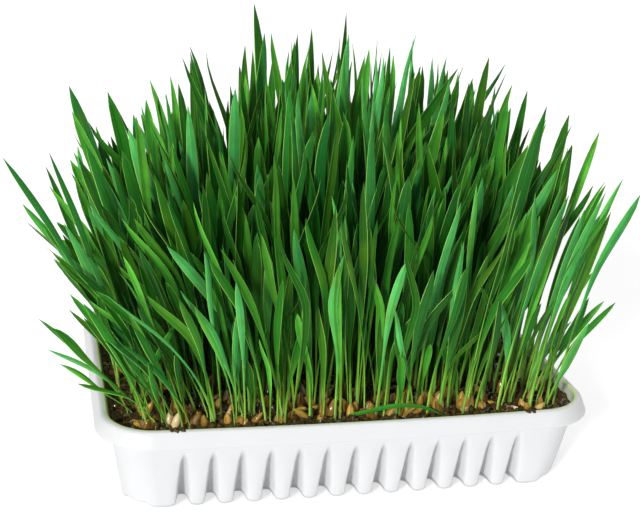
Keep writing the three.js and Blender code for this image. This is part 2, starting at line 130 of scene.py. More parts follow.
# Rows of grass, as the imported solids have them
ROWS = len(GRASS_NODES)
ROW_PITCH = 0.007
ROW_HALF_LENGTH = 0.084
OUTER_ROW_HALF_LENGTH = 0.080
BLADES_PER_ROW = 13
TALLEST = 0.143
LEFT_DROP = 0.040
LEFT_DROP_POWER = 1.5
RIGHT_DROP = 0.028
RIGHT_DROP_POWER = 2.0
FRONT_ROW_SHARE = 0.62
FRONT_ROW_END_SHARE = 0.86
GROWN_LEAST = 0.68
GROWN_POWER = 3
LEFT_REACH = 0.024
RIGHT_REACH = 0.018
LEAN_JITTER = 0.16
ROW_STAGGER = 0.618
ROW_FAN = 0.33
SWAY = 0.0016
SIDE_SLIMNESS = 0.75
SIDE_TIP_MAX = 0.1055
BLADE_WIDTH_MIN = 0.0038
BLADE_WIDTH_MAX = 0.0062
ROW_END = 0.0015

# Low blades that hang out over the two ends: row, root, tip, height and width
SIDE_BLADES = (
    (2, -0.082, -0.115, 0.040, 0.0044),
    (4, -0.083, -0.109, 0.022, 0.0040),
    (5, -0.084, -0.107, 0.096, 0.0046),
    (6, -0.084, -0.124, 0.092, 0.0046),
    (10, -0.084, -0.117, 0.066, 0.0048),
    (11, -0.084, -0.111, 0.079, 0.0044),
    (2, 0.082, 0.106, 0.038, 0.0044),
    (3, 0.083, 0.112, 0.036, 0.0046),
    (4, 0.083, 0.102, 0.046, 0.0042),
    (3, 0.083, 0.112, 0.087, 0.0048),
    (5, 0.084, 0.108, 0.080, 0.0044),
    (6, 0.083, 0.105, 0.100, 0.0046),
)

# The finer blades that only this script has, and how every blade's width runs along it
BLADE_CORNERS = 10
FILLER_WIDTHS = (0.0028, 0.0056)
SHORT_WIDTHS = (0.0024, 0.0038)
SHORT_HEIGHTS = (0.024, 0.050)
GROWTHS = ((0.68, 0.90), (0.38, 0.72))
GROWTH_ODDS = (0.6, 0.4)
LEAN_SPREAD = 0.085
WIDE_LEAN_SPREAD = 0.20
WIDE_LEAN_SHARE = 0.15
FURTHEST_TIPS = (0.078, 0.100)
FURTHEST_LEFTWARDS = -0.036
FRONT_ROWS = 4
SHORT_ROWS = 5
OPENINGS = (0.55, 1.6)
STEADY_OPENINGS = (0.80, 1.30)
HOOK = 0.0042
STEADY_HOOK = 0.0012
BEND = 0.0014
LEFT_FRONT_OPENING = 0.25
LEFT_FRONT_SLIMNESS = 0.22
TALL_BLADE = 0.120
STEM_DEPTH = 0.62
FOLDS = (0.16, 0.42)
CANOPY_SHARE = 0.80
LEAF_SHEET = 0.00018
WIDTH_ALONG = (0.0, 0.10, 0.24, 0.33, 0.42, 0.52, 0.61, 0.70, 0.78, 0.86, 0.92, 0.96, 0.985, 1.0)
WIDTH_SHARE = (0.30, 0.26, 0.25, 0.32, 0.54, 0.82, 0.97, 1.0, 0.90, 0.66, 0.42, 0.23, 0.10, 0.02)
BLUNT_SHARE = (0.30, 0.26, 0.25, 0.30, 0.46, 0.70, 0.88, 0.98, 1.0, 0.90, 0.70, 0.48, 0.28, 0.03)

# The studio
WORLD_LIGHT = 0.12
WORLD_SEEN = 1.05
FLOOR_REACH = 6.0
FLOOR_CORNERS = ((-1, -1), (1, -1), (1, 1), (-1, 1))

# How dark the painted shade inside the stand gets, and how far apart two seeds' streaks lie
INNER_SHADE = 0.88
SEED_SHIFT = 71.0

# Further colours of the materials
TONES = {
    "painted shade on plastic": (0.36, 0.365, 0.37),
    "painted grass reflection": (0.60, 0.72, 0.30),
    "soil specks": (0.16, 0.095, 0.022),
    "soil in painted shade": (0.002, 0.003, 0.0005),
    "pale root": (0.52, 0.42, 0.24),
    "stained root": (0.20, 0.12, 0.05),
    "dark husk": (0.07, 0.028, 0.003),
    "cream husk": (0.86, 0.70, 0.42),
    "germ": (0.09, 0.04, 0.012),
    "husk in painted shade": (0.010, 0.008, 0.001),
    "minty lit leaf": (0.125, 0.64, 0.165),
    "fresh lit leaf": (0.130, 0.58, 0.050),
    "dull shaded leaf": (0.007, 0.042, 0.003),
    "leaf foot": (0.085, 0.31, 0.022),
    "stem base": (0.56, 0.76, 0.20),
    "aged leaf": (0.11, 0.22, 0.006),
    "vein": (0.08, 0.44, 0.035),
    "leaf cloud": (0.012, 0.072, 0.007),
    "midrib": (0.12, 0.36, 0.05),
    "painted shade on one half": (0.004, 0.075, 0.003),
    "painted lit edge": (0.42, 0.84, 0.15),
    "leaf in painted shade": (0.0012, 0.046, 0.0010),
}


class TrayProperties(bpy.types.PropertyGroup):
    """Sizes and colour of the moulded tray."""

    groove_pitch: bpy.props.FloatProperty(
        name="Groove pitch", description="From one groove to the next",
        default=0.0106, unit="LENGTH",
    )
    groove_depth: bpy.props.FloatProperty(
        name="Groove depth", description="How far a groove is sunk at the base",
        default=0.0068, unit="LENGTH",
    )
    wall_top_inset: bpy.props.FloatProperty(
        name="Wall inset at the rim", description="From the rim's edge in to the wall below it",
        default=0.0057, unit="LENGTH",
    )
    wall_base_inset: bpy.props.FloatProperty(
        name="Wall inset at the base", description="From the rim's edge in to the wall's foot",
        default=0.0103, unit="LENGTH",
    )
    wall_radius: bpy.props.FloatProperty(
        name="Wall corner radius", description="Radius of the wall's corners",
        default=0.013, unit="LENGTH",
    )
    rim_radius: bpy.props.FloatProperty(
        name="Rim corner radius", description="Radius of the rim's corners at its lower edge",
        default=0.021, unit="LENGTH",
    )
    sheet: bpy.props.FloatProperty(
        name="Sheet", description="Thickness of the plastic", default=0.0011, unit="LENGTH",
    )
    colour: bpy.props.FloatVectorProperty(
        name="Plastic", description="Colour of the white plastic",
        default=(0.650, 0.655, 0.662), subtype="COLOR",
    )


class SoilProperties(bpy.types.PropertyGroup):
    """Look of the soil and what lies in it."""

    crumbs: bpy.props.IntProperty(
        name="Crumbs", description="Loose crumbs on the soil", default=2950,
    )
    rootlets: bpy.props.IntProperty(
        name="Rootlets", description="Fine pale roots that show at the surface", default=130,
    )
    dark: bpy.props.FloatVectorProperty(
        name="Wet soil", description="Colour of the wettest soil",
        default=(0.007, 0.005, 0.0008), subtype="COLOR",
    )
    pale: bpy.props.FloatVectorProperty(
        name="Crumb tops", description="Colour of the drier crumb tops",
        default=(0.095, 0.055, 0.011), subtype="COLOR",
    )


class GrainProperties(bpy.types.PropertyGroup):
    """Sprouted grains."""

    count: bpy.props.IntProperty(
        name="Grains", description="Grains that lie on the soil", default=250,
    )
    length: bpy.props.FloatProperty(
        name="Grain length", description="Mean length of a grain", default=0.0078, unit="LENGTH",
    )
    width: bpy.props.FloatProperty(
        name="Grain width", description="Mean width of a grain", default=0.0040, unit="LENGTH",
    )
    husk: bpy.props.FloatVectorProperty(
        name="Husk", description="Golden brown of the husk",
        default=(0.37, 0.190, 0.016), subtype="COLOR",
    )
    # Pale straw of the ridges, partly a painted highlight
    highlight: bpy.props.FloatVectorProperty(
        name="Husk highlight", description="Pale straw of the husk's ridges",
        default=(0.90, 0.62, 0.15), subtype="COLOR",
    )


class GrassProperties(bpy.types.PropertyGroup):
    """Blades of grass."""

    fillers: bpy.props.IntProperty(
        name="Further blades in a row",
        description="Finer blades that fill a row between those of the solids", default=40,
    )
    front_fillers: bpy.props.IntProperty(
        name="Further blades in a front row",
        description="Fewer blades fill the four front rows, where stems and soil show", default=22,
    )
    short_blades: bpy.props.IntProperty(
        name="Short blades", description="Late shoots that stand low at the front", default=44,
    )
    rings: bpy.props.IntProperty(
        name="Rings", description="Cross-sections along a blade", default=19,
    )
    stem: bpy.props.FloatVectorProperty(
        name="Stem", description="Pale yellow-green of the stem",
        default=(0.40, 0.84, 0.070), subtype="COLOR",
    )
    blade: bpy.props.FloatVectorProperty(
        name="Blade", description="Mid green of the blade",
        default=(0.011, 0.178, 0.004), subtype="COLOR",
    )
    bluish: bpy.props.FloatVectorProperty(
        name="Bluish blade", description="Cool green of some blades",
        default=(0.009, 0.195, 0.036), subtype="COLOR",
    )
    olive: bpy.props.FloatVectorProperty(
        name="Olive blade", description="Olive green of some blades",
        default=(0.055, 0.175, 0.004), subtype="COLOR",
    )


class StudioProperties(bpy.types.PropertyGroup):
    """Camera and light."""

    lens: bpy.props.FloatProperty(
        name="Lens", description="Focal length in millimetres", default=72.58,
    )
    camera_place: bpy.props.FloatVectorProperty(
        name="Camera", description="Where the camera stands",
        default=(-0.1131, -0.4856, 0.2323), subtype="TRANSLATION",
    )
    yaw: bpy.props.FloatProperty(
        name="Yaw", description="Turn to the right of the tray's depth",
        default=math.radians(12.895), unit="ROTATION",
    )
    pitch: bpy.props.FloatProperty(
        name="Pitch", description="Tilt below the horizon",
        default=math.radians(17.419), unit="ROTATION",
    )
    roll: bpy.props.FloatProperty(
        name="Roll", description="Turn about the line of sight",
        default=math.radians(2.404), unit="ROTATION",
    )
    floor: bpy.props.FloatVectorProperty(
        name="Floor", description="Colour of the floor",
        default=(0.62, 0.62, 0.62), subtype="COLOR",
    )
    floor_glow: bpy.props.FloatProperty(
        name="Floor glow", description="Light that the floor gives off itself", default=0.55,
    )


def mix(start, end, share):
    """The value that lies that share of the way from start to end."""
    return start + (end - start) * share


def ease(value, low, high):
    """0 below low, 1 above high and smooth between."""
    share = np.clip((value - low) / (high - low), 0, 1)
    return share * share * (3 - 2 * share)


def draws(seed):
    """The repeatable draws between 0 and 1 that the solids of the rows were made with."""
    state = seed
    while True:
        state = (state * 1664525 + 1013904223) % 2**32
        yield (state >> 8) / 2**24


def add_object(name, data):
    """An object in the scene."""
    made = bpy.data.objects.new(name, data)
    bpy.context.scene.collection.objects.link(made)
    return made


def add_piece(name, vertices, faces, material, replaced=(), across_along=None, values=None):
    """A smooth mesh piece that rides on the tray. across_along is a surface coordinate for
    each vertex, and values are named numbers for each vertex."""
    mesh = bpy.data.meshes.new(name)
    mesh.from_pydata(np.asarray(vertices, float).tolist(), [], faces)
    mesh.update()
    mesh.polygons.foreach_set("use_smooth", np.ones(len(mesh.polygons), bool))
    if across_along is not None:
        corners = np.empty(len(mesh.loops), np.int32)
        mesh.loops.foreach_get("vertex_index", corners)
        layer = mesh.uv_layers.new(name="Surface")
        layer.uv.foreach_set("vector", np.asarray(across_along, np.float32)[corners].ravel())
    for value_name, numbers in (values or {}).items():
        layer = mesh.attributes.new(value_name, "FLOAT", "POINT")
        layer.data.foreach_set("value", np.asarray(numbers, np.float32))
    mesh.materials.append(material)
    piece = add_object(name, mesh)
    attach(piece, BODY)
    if replaced:
        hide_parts(*replaced)
    return piece


def bridge(low, high):
    """Quads between two closed rings of vertex numbers."""
    return list(zip(low, low[1:] + low[:1], high[1:] + high[:1], high))


def ring_faces(rings, around, offset=0):
    """Quads between closed rings, and a face at each end."""
    numbers = (np.arange(rings * around).reshape(rings, around) + offset).tolist()
    faces = [face for low, high in zip(numbers, numbers[1:]) for face in bridge(low, high)]
    return [*faces, numbers[0][::-1], numbers[-1]]


def turns(around):
    """The angles of evenly spaced points round a ring."""
    return np.arange(around) / around * 2 * math.pi


def unit(vectors):
    """Vectors of length one."""
    return vectors / np.linalg.norm(vectors, axis=-1, keepdims=True)


def side_and_front(line, across):
    """Directions to the side of a path's points, and out of the face of its sheet."""
    ahead = unit(np.gradient(line, axis=-2))
    side = unit(np.cross(ahead, across))
    return side, np.cross(side, ahead)


def loft(line, side, front, wide, deep):
    """Rings of points round a path, each so far to the side and so far to the front."""
    return line[..., None, :] + side[..., None, :] * wide[..., None] \
        + front[..., None, :] * deep[..., None]


def set_inputs(node, inputs):
    """Sets a node's inputs to values, or joins them to other nodes' outputs."""
    for key, value in inputs.items():
        socket = node.inputs[key]
        if isinstance(value, bpy.types.NodeSocket):
            node.id_data.links.new(value, socket)
        else:
            socket.default_value = (*value[:3], 1) if socket.type == "RGBA" else value


def add_node(tree, kind, inputs=None, **settings):
    """A shader node with its settings and its inputs."""
    node = tree.nodes.new(kind)
    for name, value in settings.items():
        setattr(node, name, value)
    set_inputs(node, inputs or {})
    return node


def math_node(tree, operation, *values):
    """The output of a Math node."""
    inputs = dict(enumerate(values))
    return add_node(tree, "ShaderNodeMath", inputs, operation=operation).outputs[0]


def times(tree, value, factor):
    """A value, multiplied by a factor."""
    return math_node(tree, "MULTIPLY", value, factor)


def apart(tree, value, other):
    """How far a value is from another."""
    return math_node(tree, "ABSOLUTE", math_node(tree, "SUBTRACT", value, other))


def mix_colour(tree, share, first, second):
    """The output of a Mix node for two colours."""
    inputs = {0: share, 6: first, 7: second}
    return add_node(tree, "ShaderNodeMix", inputs, data_type="RGBA").outputs[2]


def layered(tree, tone, layers):
    """A colour with further ones laid over it, each with its mask."""
    for mask, colour in layers:
        tone = mix_colour(tree, mask, tone, colour)
    return tone


def map_range(tree, value, low, high, to_low=0.0, to_high=1.0):
    """The output of a clamped Map Range node."""
    node = add_node(tree, "ShaderNodeMapRange", {
        "Value": value, "From Min": low, "From Max": high, "To Min": to_low, "To Max": to_high,
    })
    return node.outputs["Result"]


def attribute(tree, name):
    """A number that the mesh holds for each vertex."""
    return add_node(tree, "ShaderNodeAttribute", attribute_name=name).outputs["Fac"]


def surface_place(tree):
    """The places across and along a blade or a grain."""
    surface = add_node(tree, "ShaderNodeUVMap", uv_map="Surface")
    parts = add_node(tree, "ShaderNodeSeparateXYZ", {"Vector": surface.outputs["UV"]})
    return parts.outputs["X"], parts.outputs["Y"]


def bumped(tree, height, distance, strength):
    """The normal of a surface that is raised by a height."""
    return add_node(tree, "ShaderNodeBump", {
        "Height": height, "Distance": distance, "Strength": strength,
    }).outputs["Normal"]


def new_material(name):
    """An empty material, its tree and its main shader, joined to the output."""
    material = bpy.data.materials.new(name)
    material.use_nodes = True
    tree = material.node_tree
    tree.nodes.clear()
    shader = tree.nodes.new("ShaderNodeBsdfPrincipled")
    add_node(tree, "ShaderNodeOutputMaterial", {"Surface": shader.outputs["BSDF"]})
    return material, tree, shader


def mottle(group, given):
    """Soft patches in the object's own space, from 0 to 1."""
    place = group.nodes.new("ShaderNodeTexCoord")
    cloud = add_node(group, "ShaderNodeTexNoise", {
        "Vector": place.outputs["Object"], "Scale": given["Scale"], "Detail": given["Detail"],
        "Roughness": 0.55,
    })
    return map_range(group, cloud.outputs["Fac"], given["Low"], given["High"])


def streaks(group, given):
    """Fine streaks that run along a blade or a grain, from 0 to 1."""
    side = times(group, given["Across"], given["Count"])
    place = add_node(group, "ShaderNodeCombineXYZ", {
        "X": math_node(group, "MULTIPLY_ADD", given["Seed"], SEED_SHIFT, side),
        "Y": times(group, given["Along"], given["Stretch"]),
        "Z": given["Seed"],
    })
    cloud = add_node(group, "ShaderNodeTexNoise", {
        "Vector": place.outputs["Vector"], "Scale": 1.0, "Detail": 1.5, "Roughness": 0.5,
    })
    return map_range(group, cloud.outputs["Fac"], 0.36, 0.64)


def painted_inner_shade(group, given):
    """A colour with painted shade that gets deeper the further inside the stand a place lies."""
    share = times(group, attribute(group, "shade"), INNER_SHADE)
    return mix_colour(group, share, given["Colour"], given["Deep"])


# Each node group's builder, kind of socket, output, and inputs with their defaults
GROUPS = {
    "Mottle": (mottle, "NodeSocketFloat", "Value", {
        "Scale": 300.0, "Detail": 3.0, "Low": 0.35, "High": 0.65,
    }),
    "Lengthwise streaks": (streaks, "NodeSocketFloat", "Streak", {
        "Across": 0.5, "Along": 0.5, "Count": 12.0, "Stretch": 1.5, "Seed": 0.0,
    }),
    "Painted shade inside the stand": (painted_inner_shade, "NodeSocketColor", "Shaded colour", {
        "Colour": (1.0, 1.0, 1.0, 1.0), "Deep": (0.0, 0.0, 0.0, 1.0),
    }),
}


def add_group(tree, name, **values):
    """The output of a node group with its inputs set. The group is built on its first use."""
    group = bpy.data.node_groups.get(name)
    if group is None:
        build, kind, output, inputs = GROUPS[name]
        group = bpy.data.node_groups.new(name, "ShaderNodeTree")
        for socket_name, default in inputs.items():
            group.interface.new_socket(
                name=socket_name, in_out="INPUT", socket_type=kind,
            ).default_value = default
        group.interface.new_socket(name=output, in_out="OUTPUT", socket_type=kind)
        given = group.nodes.new("NodeGroupInput").outputs
        add_node(group, "NodeGroupOutput", {output: build(group, given)})
    return add_node(tree, "ShaderNodeGroup", values, node_tree=group).outputs[0]


def plastic_material(colour):
    """Thin white plastic, satin and a little mottled, with painted shade in the grooves, at the
    foot and under the skirt, and a painted green reflection on the inner lip.
    """
    material, tree, shader = new_material("White plastic")
    clouds = add_group(tree, "Mottle", Scale=90.0, Detail=3.0)
    body = mix_colour(tree, clouds, [channel * 0.985 for channel in colour], colour)
    grain = add_group(tree, "Mottle", Scale=900.0, Detail=2.0)
    set_inputs(shader, {
        "Base Color": layered(tree, body, (
            # Painted shade in the grooves, at the wall's foot and under the skirt
            (attribute(tree, "painted_shade"), TONES["painted shade on plastic"]),
            # Painted reflection of the green grass on the inner lip
            (attribute(tree, "grass_reflection"), TONES["painted grass reflection"]),
        )),
        "Roughness": map_range(tree, grain, 0.0, 1.0, 0.36, 0.44),
        "IOR": 1.46,
        "Normal": bumped(tree, grain, 0.00003, 0.5),
    })
    return material


def soil_material(dark, pale):
    """Wet crumbly soil with glinting water films."""
    material, tree, shader = new_material("Wet soil")
    patches = add_group(tree, "Mottle", Scale=420.0, Detail=4.0)
    specks = add_group(tree, "Mottle", Scale=1500.0, Detail=3.0, Low=0.48, High=0.6)
    films = add_group(tree, "Mottle", Scale=260.0, Detail=2.0, Low=0.51, High=0.58)
    speckled = layered(tree, dark, (
        (patches, pale), (times(tree, specks, 0.4), TONES["soil specks"]),
    ))
    set_inputs(shader, {
        # Painted shade darkens the soil inside the stand
        "Base Color": add_group(tree, "Painted shade inside the stand", Colour=speckled, Deep=TONES["soil in painted shade"]),
        "Roughness": map_range(tree, films, 0.0, 1.0, 0.8, 0.06),
        "Coat Weight": films,
        "Coat Roughness": 0.06,
        "Specular IOR Level": 0.25,
        "Normal": bumped(tree, specks, 0.0004, 0.8),
    })
    return material


def root_material():
    """Pale roots, a little stained by the soil."""
    material, tree, shader = new_material("Pale root")
    stain = add_group(tree, "Mottle", Scale=500.0, Detail=3.0)
    set_inputs(shader, {
        "Base Color": mix_colour(tree, stain, TONES["pale root"], TONES["stained root"]),
        "Roughness": 0.45,
        "Normal": bumped(tree, stain, 0.0001, 0.5),
    })
    return material


def husk_material(husk, highlight):
    """Golden brown husk with lengthwise streaks, pale ridges that are partly a painted highlight,
    and a dark germ end.
    """
    material, tree, shader = new_material("Wheat husk")
    across, along = surface_place(tree)
    seed = attribute(tree, "seed")
    streak = add_group(tree, "Lengthwise streaks", Across=across, Along=along, Count=16.0,
                       Stretch=2.5, Seed=seed)
    tone = layered(tree, husk, (
        # Pale ridge streaks, partly a painted highlight
        (times(tree, streak, 0.45), highlight),
        (map_range(tree, seed, 0.1, 1.0, 0.0, 0.8), TONES["dark husk"]),
        (map_range(tree, seed, 0.0, 0.07, 0.85, 0.0), TONES["cream husk"]),
        (map_range(tree, along, 0.0, 0.16, 0.7, 0.0), TONES["germ"]),
    ))
    set_inputs(shader, {
        # Painted shade darkens the grains inside the stand
        "Base Color": add_group(tree, "Painted shade inside the stand", Colour=tone, Deep=TONES["husk in painted shade"]),
        "Roughness": map_range(tree, streak, 0.0, 1.0, 0.30, 0.5),
        "Specular IOR Level": 0.3,
        "Coat Weight": 0.6,
        "Coat Roughness": 0.10,
        "Normal": bumped(tree, streak, 0.00012, 0.7),
    })
    return material


def leaf_material(sizes):
    """Young leaf: pale at the stem, green above, with veins and a midrib. Painted light and shade
    light some blades and dull others, shade one half of the fold, light its edges and darken
    the inside of the stand.
    """
    material, tree, shader = new_material("Young leaf")
    across, along = surface_place(tree)
    tint, vigour_and_light = attribute(tree, "tint"), attribute(tree, "vigour_and_light")
    streak = add_group(tree, "Lengthwise streaks", Across=across, Along=along, Count=22.0,
                       Stretch=0.8, Seed=tint)
    aged = add_group(tree, "Mottle", Scale=45.0, Detail=1.0, Low=0.56, High=0.70)
    clouds = add_group(tree, "Mottle", Scale=130.0, Detail=3.0)
    lively_and_lit = mix_colour(tree, map_range(tree, tint, 0.35, 0.55), TONES["minty lit leaf"],
                        TONES["fresh lit leaf"])
    from_edge = apart(tree, across, math_node(tree, "GREATER_THAN", tint, 0.5))
    # Painted highlight of back light along the edges, strong on one edge and faint on the other
    edge = math_node(tree, "ADD", map_range(tree, from_edge, 0.03, 0.08, 0.85, 0.0),
                     map_range(tree, from_edge, 0.93, 0.97, 0.0, 0.25))
    upper = layered(tree, sizes.blade, (
        (map_range(tree, tint, 0.18, 0.38, 1.0, 0.0), sizes.bluish),
        (map_range(tree, tint, 0.72, 0.92), sizes.olive),
        # Real vigour mixed with painted light: dull blades look shaded, lively ones lit and
        # sheened
        (map_range(tree, vigour_and_light, 0.0, 0.62, 0.95, 0.0), TONES["dull shaded leaf"]),
        (map_range(tree, vigour_and_light, 0.55, 0.95), lively_and_lit),
    ))
    rise = math_node(tree, "POWER", map_range(tree, along, 0.10, 0.55), 0.7)
    tone = layered(tree, mix_colour(tree, rise, TONES["leaf foot"], upper), (
        (map_range(tree, along, 0.05, 0.38, 1.0, 0.0), sizes.stem),
        (map_range(tree, along, 0.02, 0.16, 0.75, 0.0), TONES["stem base"]),
        (times(tree, aged, 0.45), TONES["aged leaf"]),
        (times(tree, streak, 0.24), TONES["vein"]),
        (times(tree, clouds, 0.30), TONES["leaf cloud"]),
        (map_range(tree, apart(tree, across, 0.5), 0.0, 0.035, 0.35, 0.0), TONES["midrib"]),
        # Painted shade on one half of the folded leaf, the half turned from the light
        (map_range(tree, from_edge, 0.46, 0.54, 0.0, 0.38), TONES["painted shade on one half"]),
        # Painted highlight along the edges
        (edge, TONES["painted lit edge"]),
    ))
    set_inputs(shader, {
        # Painted shade darkens the blades inside the stand
        "Base Color": add_group(tree, "Painted shade inside the stand", Colour=tone, Deep=TONES["leaf in painted shade"]),
        "Roughness": map_range(tree, streak, 0.0, 1.0, 0.42, 0.56),
        "Specular IOR Level": 0.12,
        "Normal": bumped(tree, streak, 0.00012, 0.6),
    })
    return material


def tray_stations(sizes):
    """Points round the tray: the side, the place along it, and the turn in a corner or -1."""
    stations = []
    step = sizes.groove_pitch / STATIONS_PER_GROOVE
    for side, half in enumerate((HALF_LENGTH, HALF_DEPTH) * 2):
        straight = half - sizes.wall_base_inset - sizes.wall_radius
        count = round(2 * straight / step)
        for i in range(count):
            stations.append((side, mix(-straight, straight, (i + 0.5) / count), -1.0))
        for i in range(CORNER_STATIONS + 1):
            stations.append((side, 0.0, i / CORNER_STATIONS))
    return np.array(stations)


def tray_ring(stations, sizes, inset, radius, height, sunk):
    """One outline of the tray, and the painted shade of its points in a groove's left half and at
    the wall's foot. sunk is how far the grooves go in at that height."""
    side, forward, turn = stations.T
    long_side = side % 2 == 0
    half = np.where(long_side, HALF_LENGTH, HALF_DEPTH)
    reach = np.where(long_side, HALF_DEPTH, HALF_LENGTH)
    grooves = np.where(long_side, SIDE_GROOVES, END_GROOVES)
    corner = turn >= 0
    rise = min(height / SKIRT_FOOT, 1)
    straight = half - sizes.wall_base_inset - sizes.wall_radius
    stretch = (half - inset - radius) / straight
    index = forward / sizes.groove_pitch + (grooves - 1) / 2
    nearest = np.clip(np.round(index), 0, grooves - 1)
    aside = np.abs(index - nearest)
    off = (index - nearest) * sizes.groove_pitch / ARCH_HALF_WIDTH
    narrowed = max(1 - height / ARCH_TOP, 1e-6) ** (1 / ARCH_POWER)
    bowl = np.clip(1 - (off / narrowed) ** 2, 0, 1) ** BOWL_POWER
    lobe = 0.5 + 0.5 * np.cos(2 * math.pi * np.minimum(aside, 0.5))
    bowl, lobe = np.where(corner, 0, bowl), np.where(corner, 0, lobe)
    outward = reach - inset - sunk * mix(bowl, lobe, RIB_ROUND)
    along = forward * np.where(aside > 0.5, stretch, 1.0)
    angle = np.clip(turn, 0, 1) * math.pi / 2
    along = np.where(corner, half - inset - radius + radius * np.sin(angle), along)
    outward = np.where(corner, reach - inset - radius + radius * np.cos(angle), outward)
    x = np.choose(side.astype(int), (along, outward, -along, -outward))
    y = np.choose(side.astype(int), (-outward, along, outward, -along))
    bow = mix(BASE_BOW, RIM_BOW, rise) * np.clip(1 - (x / (HALF_LENGTH - inset)) ** 2, 0, 1)
    y = y + np.sign(y) * bow
    arch = 1 - ease(np.abs(off), 0.45, 1.2)
    foot = CORNER_LIFT * ease(turn, 0.12, 0.28) * (1 - ease(turn, 0.72, 0.88))
    low = sunk / sizes.groove_depth * max(1 - height / FOOT_HEIGHT, 0)
    # Painted shade on the left half of a groove, where the rib's shadow falls
    painted_shade = bowl**0.3 * (1 - ease(off, -0.2, 0.75)) * min(sunk / FULL_SHADE_DEPTH, 1)
    # Painted shade along the wall's foot, darker under the grooves' arches
    if height < FOOT_BAND:
        painted_shade = np.maximum(painted_shade, np.where(corner, FOOT_CORNER_SHADE, mix(*FOOT_SHADES, arch)))
    lift = np.where(corner, foot, ARCH_LIFT * arch + RIB_FOOT_ROUND * lobe)
    return np.stack([x, y, height + low * lift], 1), painted_shade


def rounded(before, corner, after, radius):
    """Points of a small round between two straight stretches of the rim's section."""
    ends = []
    for neighbour in (before, after):
        way = neighbour - corner
        length = np.linalg.norm(way)
        ends.append(corner + way / length * min(radius, length * 0.48))
    share = np.linspace(0, 1, ROUND_STEPS)[:, None]
    start, end = ends
    return list((1 - share) ** 2 * start + 2 * share * (1 - share) * corner + share**2 * end)


def tray_section(sizes):
    """The tray's section as (inset, height, corner radius) from the middle of the underside,
    up the outside, over the rim and down the inside."""
    top, base, sheet = sizes.wall_top_inset, sizes.wall_base_inset, sizes.sheet
    wall, rim = sizes.wall_radius, sizes.rim_radius
    # Inset, height and corner radius of each corner, and how far it is rounded
    corners = [
        (base + 0.010, 0.0, wall - 0.006, 0.0005),
        (base, 0.0, wall, 0.0016),
        (top, SKIRT_FOOT, wall, 0.001),
        (top - 0.0008, TRAY_HEIGHT - 0.0013, wall + 0.002, 0.0006),
        (LIP + 0.0002, TRAY_HEIGHT - 0.0011, rim - LIP, 0.0004),
        (sheet, SKIRT_FOOT, rim - sheet, 0.0003),
        (0.0, SKIRT_FOOT, rim, 0.0004),
        (RIM_SLOPE - 0.0003, TRAY_HEIGHT, rim - RIM_SLOPE, 0.0014),
        (LIP + sheet + 0.0004, TRAY_HEIGHT, rim - LIP - sheet, 0.0008),
        (top + sheet - 0.0004, SKIRT_FOOT, wall - sheet, 0.001),
        (base + sheet, sheet, wall - sheet, 0.0012),
        (base + 0.012, sheet, wall - 0.007, 0.0005),
    ]
    places = [np.array(corner[:3]) for corner in corners]
    path = [places[0]]
    for before, here, after, corner in zip(places, places[1:], places[2:], corners[1:]):
        path += rounded(before, here, after, corner[3])
    path.append(places[-1])
    fine = [path[0]]
    for start, end in zip(path, path[1:]):
        pieces = max(1, math.ceil(np.linalg.norm((end - start)[:2]) / SECTION_STEP))
        fine += [mix(start, end, (i + 1) / pieces) for i in range(pieces)]
    return fine


def add_tray(sizes, material):
    """The moulded tray, with pointed grooves, a turned-down rim and one even sheet."""
    stations = tray_stations(sizes)
    section = tray_section(sizes)
    rings, grass_reflections, painted_shades = [], [], []
    lip_start = max(range(len(section)), key=lambda i: section[i][1])
    for number, (inset, height, radius) in enumerate(section):
        below = max(ARCH_TOP - height, 0)
        start = float(ease(below, 0, 0.005))
        inner = inset - sizes.wall_base_inset - sizes.sheet
        fade = 1 - min(max(inner / FADE_INWARDS, 0), 1)
        sunk = sizes.groove_depth * mix(below / ARCH_TOP, start, SHALLOW_SHARE) * fade
        ring, painted_shade = tray_ring(stations, sizes, inset, max(radius, 0.001), height, sunk)
        rings.append(ring)
        outside = number < lip_start
        # Painted shade in a line just under the skirt
        below_skirt = outside and abs(height - SKIRT_FOOT) < 0.0006 and inset > 0.004
        painted_shades.append(np.maximum(GROOVE_PAINTED_SHADE * outside * painted_shade, SKIRT_SHADE * below_skirt))
        # Painted reflection of the green grass on the inner lip, strongest on its top
        inner_lip = number > lip_start and inset > 0.0037 and height > TRAY_HEIGHT - 0.0035
        on_top = height > TRAY_HEIGHT - 0.0005
        grass_reflection = (TOP_GRASS_REFLECTION if on_top else LIP_GRASS_REFLECTION) if inner_lip else 0.0
        grass_reflections.append(np.full(len(stations), grass_reflection))
    vertices = np.concatenate(rings)
    faces = ring_faces(len(rings), len(stations))
    return add_piece(
        "moulded_tray", vertices, faces, material, ["tray"],
        values={"grass_reflection": np.concatenate(grass_reflections), "painted_shade": np.concatenate(painted_shades)},
    )


def low_shade(points):
    """Painted shade on the ground from how deep in the stand each place lies, as named numbers."""
    x, y = np.abs(points.T[:2])
    inwards = np.minimum(HALF_LENGTH - STAND_INSET - x, HALF_DEPTH - STAND_INSET - y)
    return {"shade": ease(inwards, 0.003, 0.026)}


def soil_outline(angle, inset, radius):
    """Distance from the tray's centre to a rounded rectangle, in each direction."""
    straight = np.array([HALF_LENGTH, HALF_DEPTH]) - inset - radius
    direction = np.stack([np.cos(angle), np.sin(angle)], 1)
    low, high = np.zeros(len(angle)), np.full(len(angle), 0.2)
    for _ in range(30):
        middle = (low + high) / 2
        beyond = np.abs(direction * middle[:, None]) - straight
        far = np.linalg.norm(np.clip(beyond, 0, None), axis=1) + np.clip(beyond.max(1), None, 0)
        low, high = np.where(far < radius, (middle, high), (low, middle))
    return low


def soil_height(x, y):
    """Height of the crumbly soil at a place."""
    broad = noise.noise(Vector((x * 28, y * 28, 3.1)))
    lumps = noise.noise(Vector((x * 170, y * 170, 7.7)))
    crumbs = noise.noise(Vector((x * 520, y * 520, 1.3)))
    return SOIL_TOP + 0.0006 * broad + 0.0015 * lumps + 0.0009 * crumbs


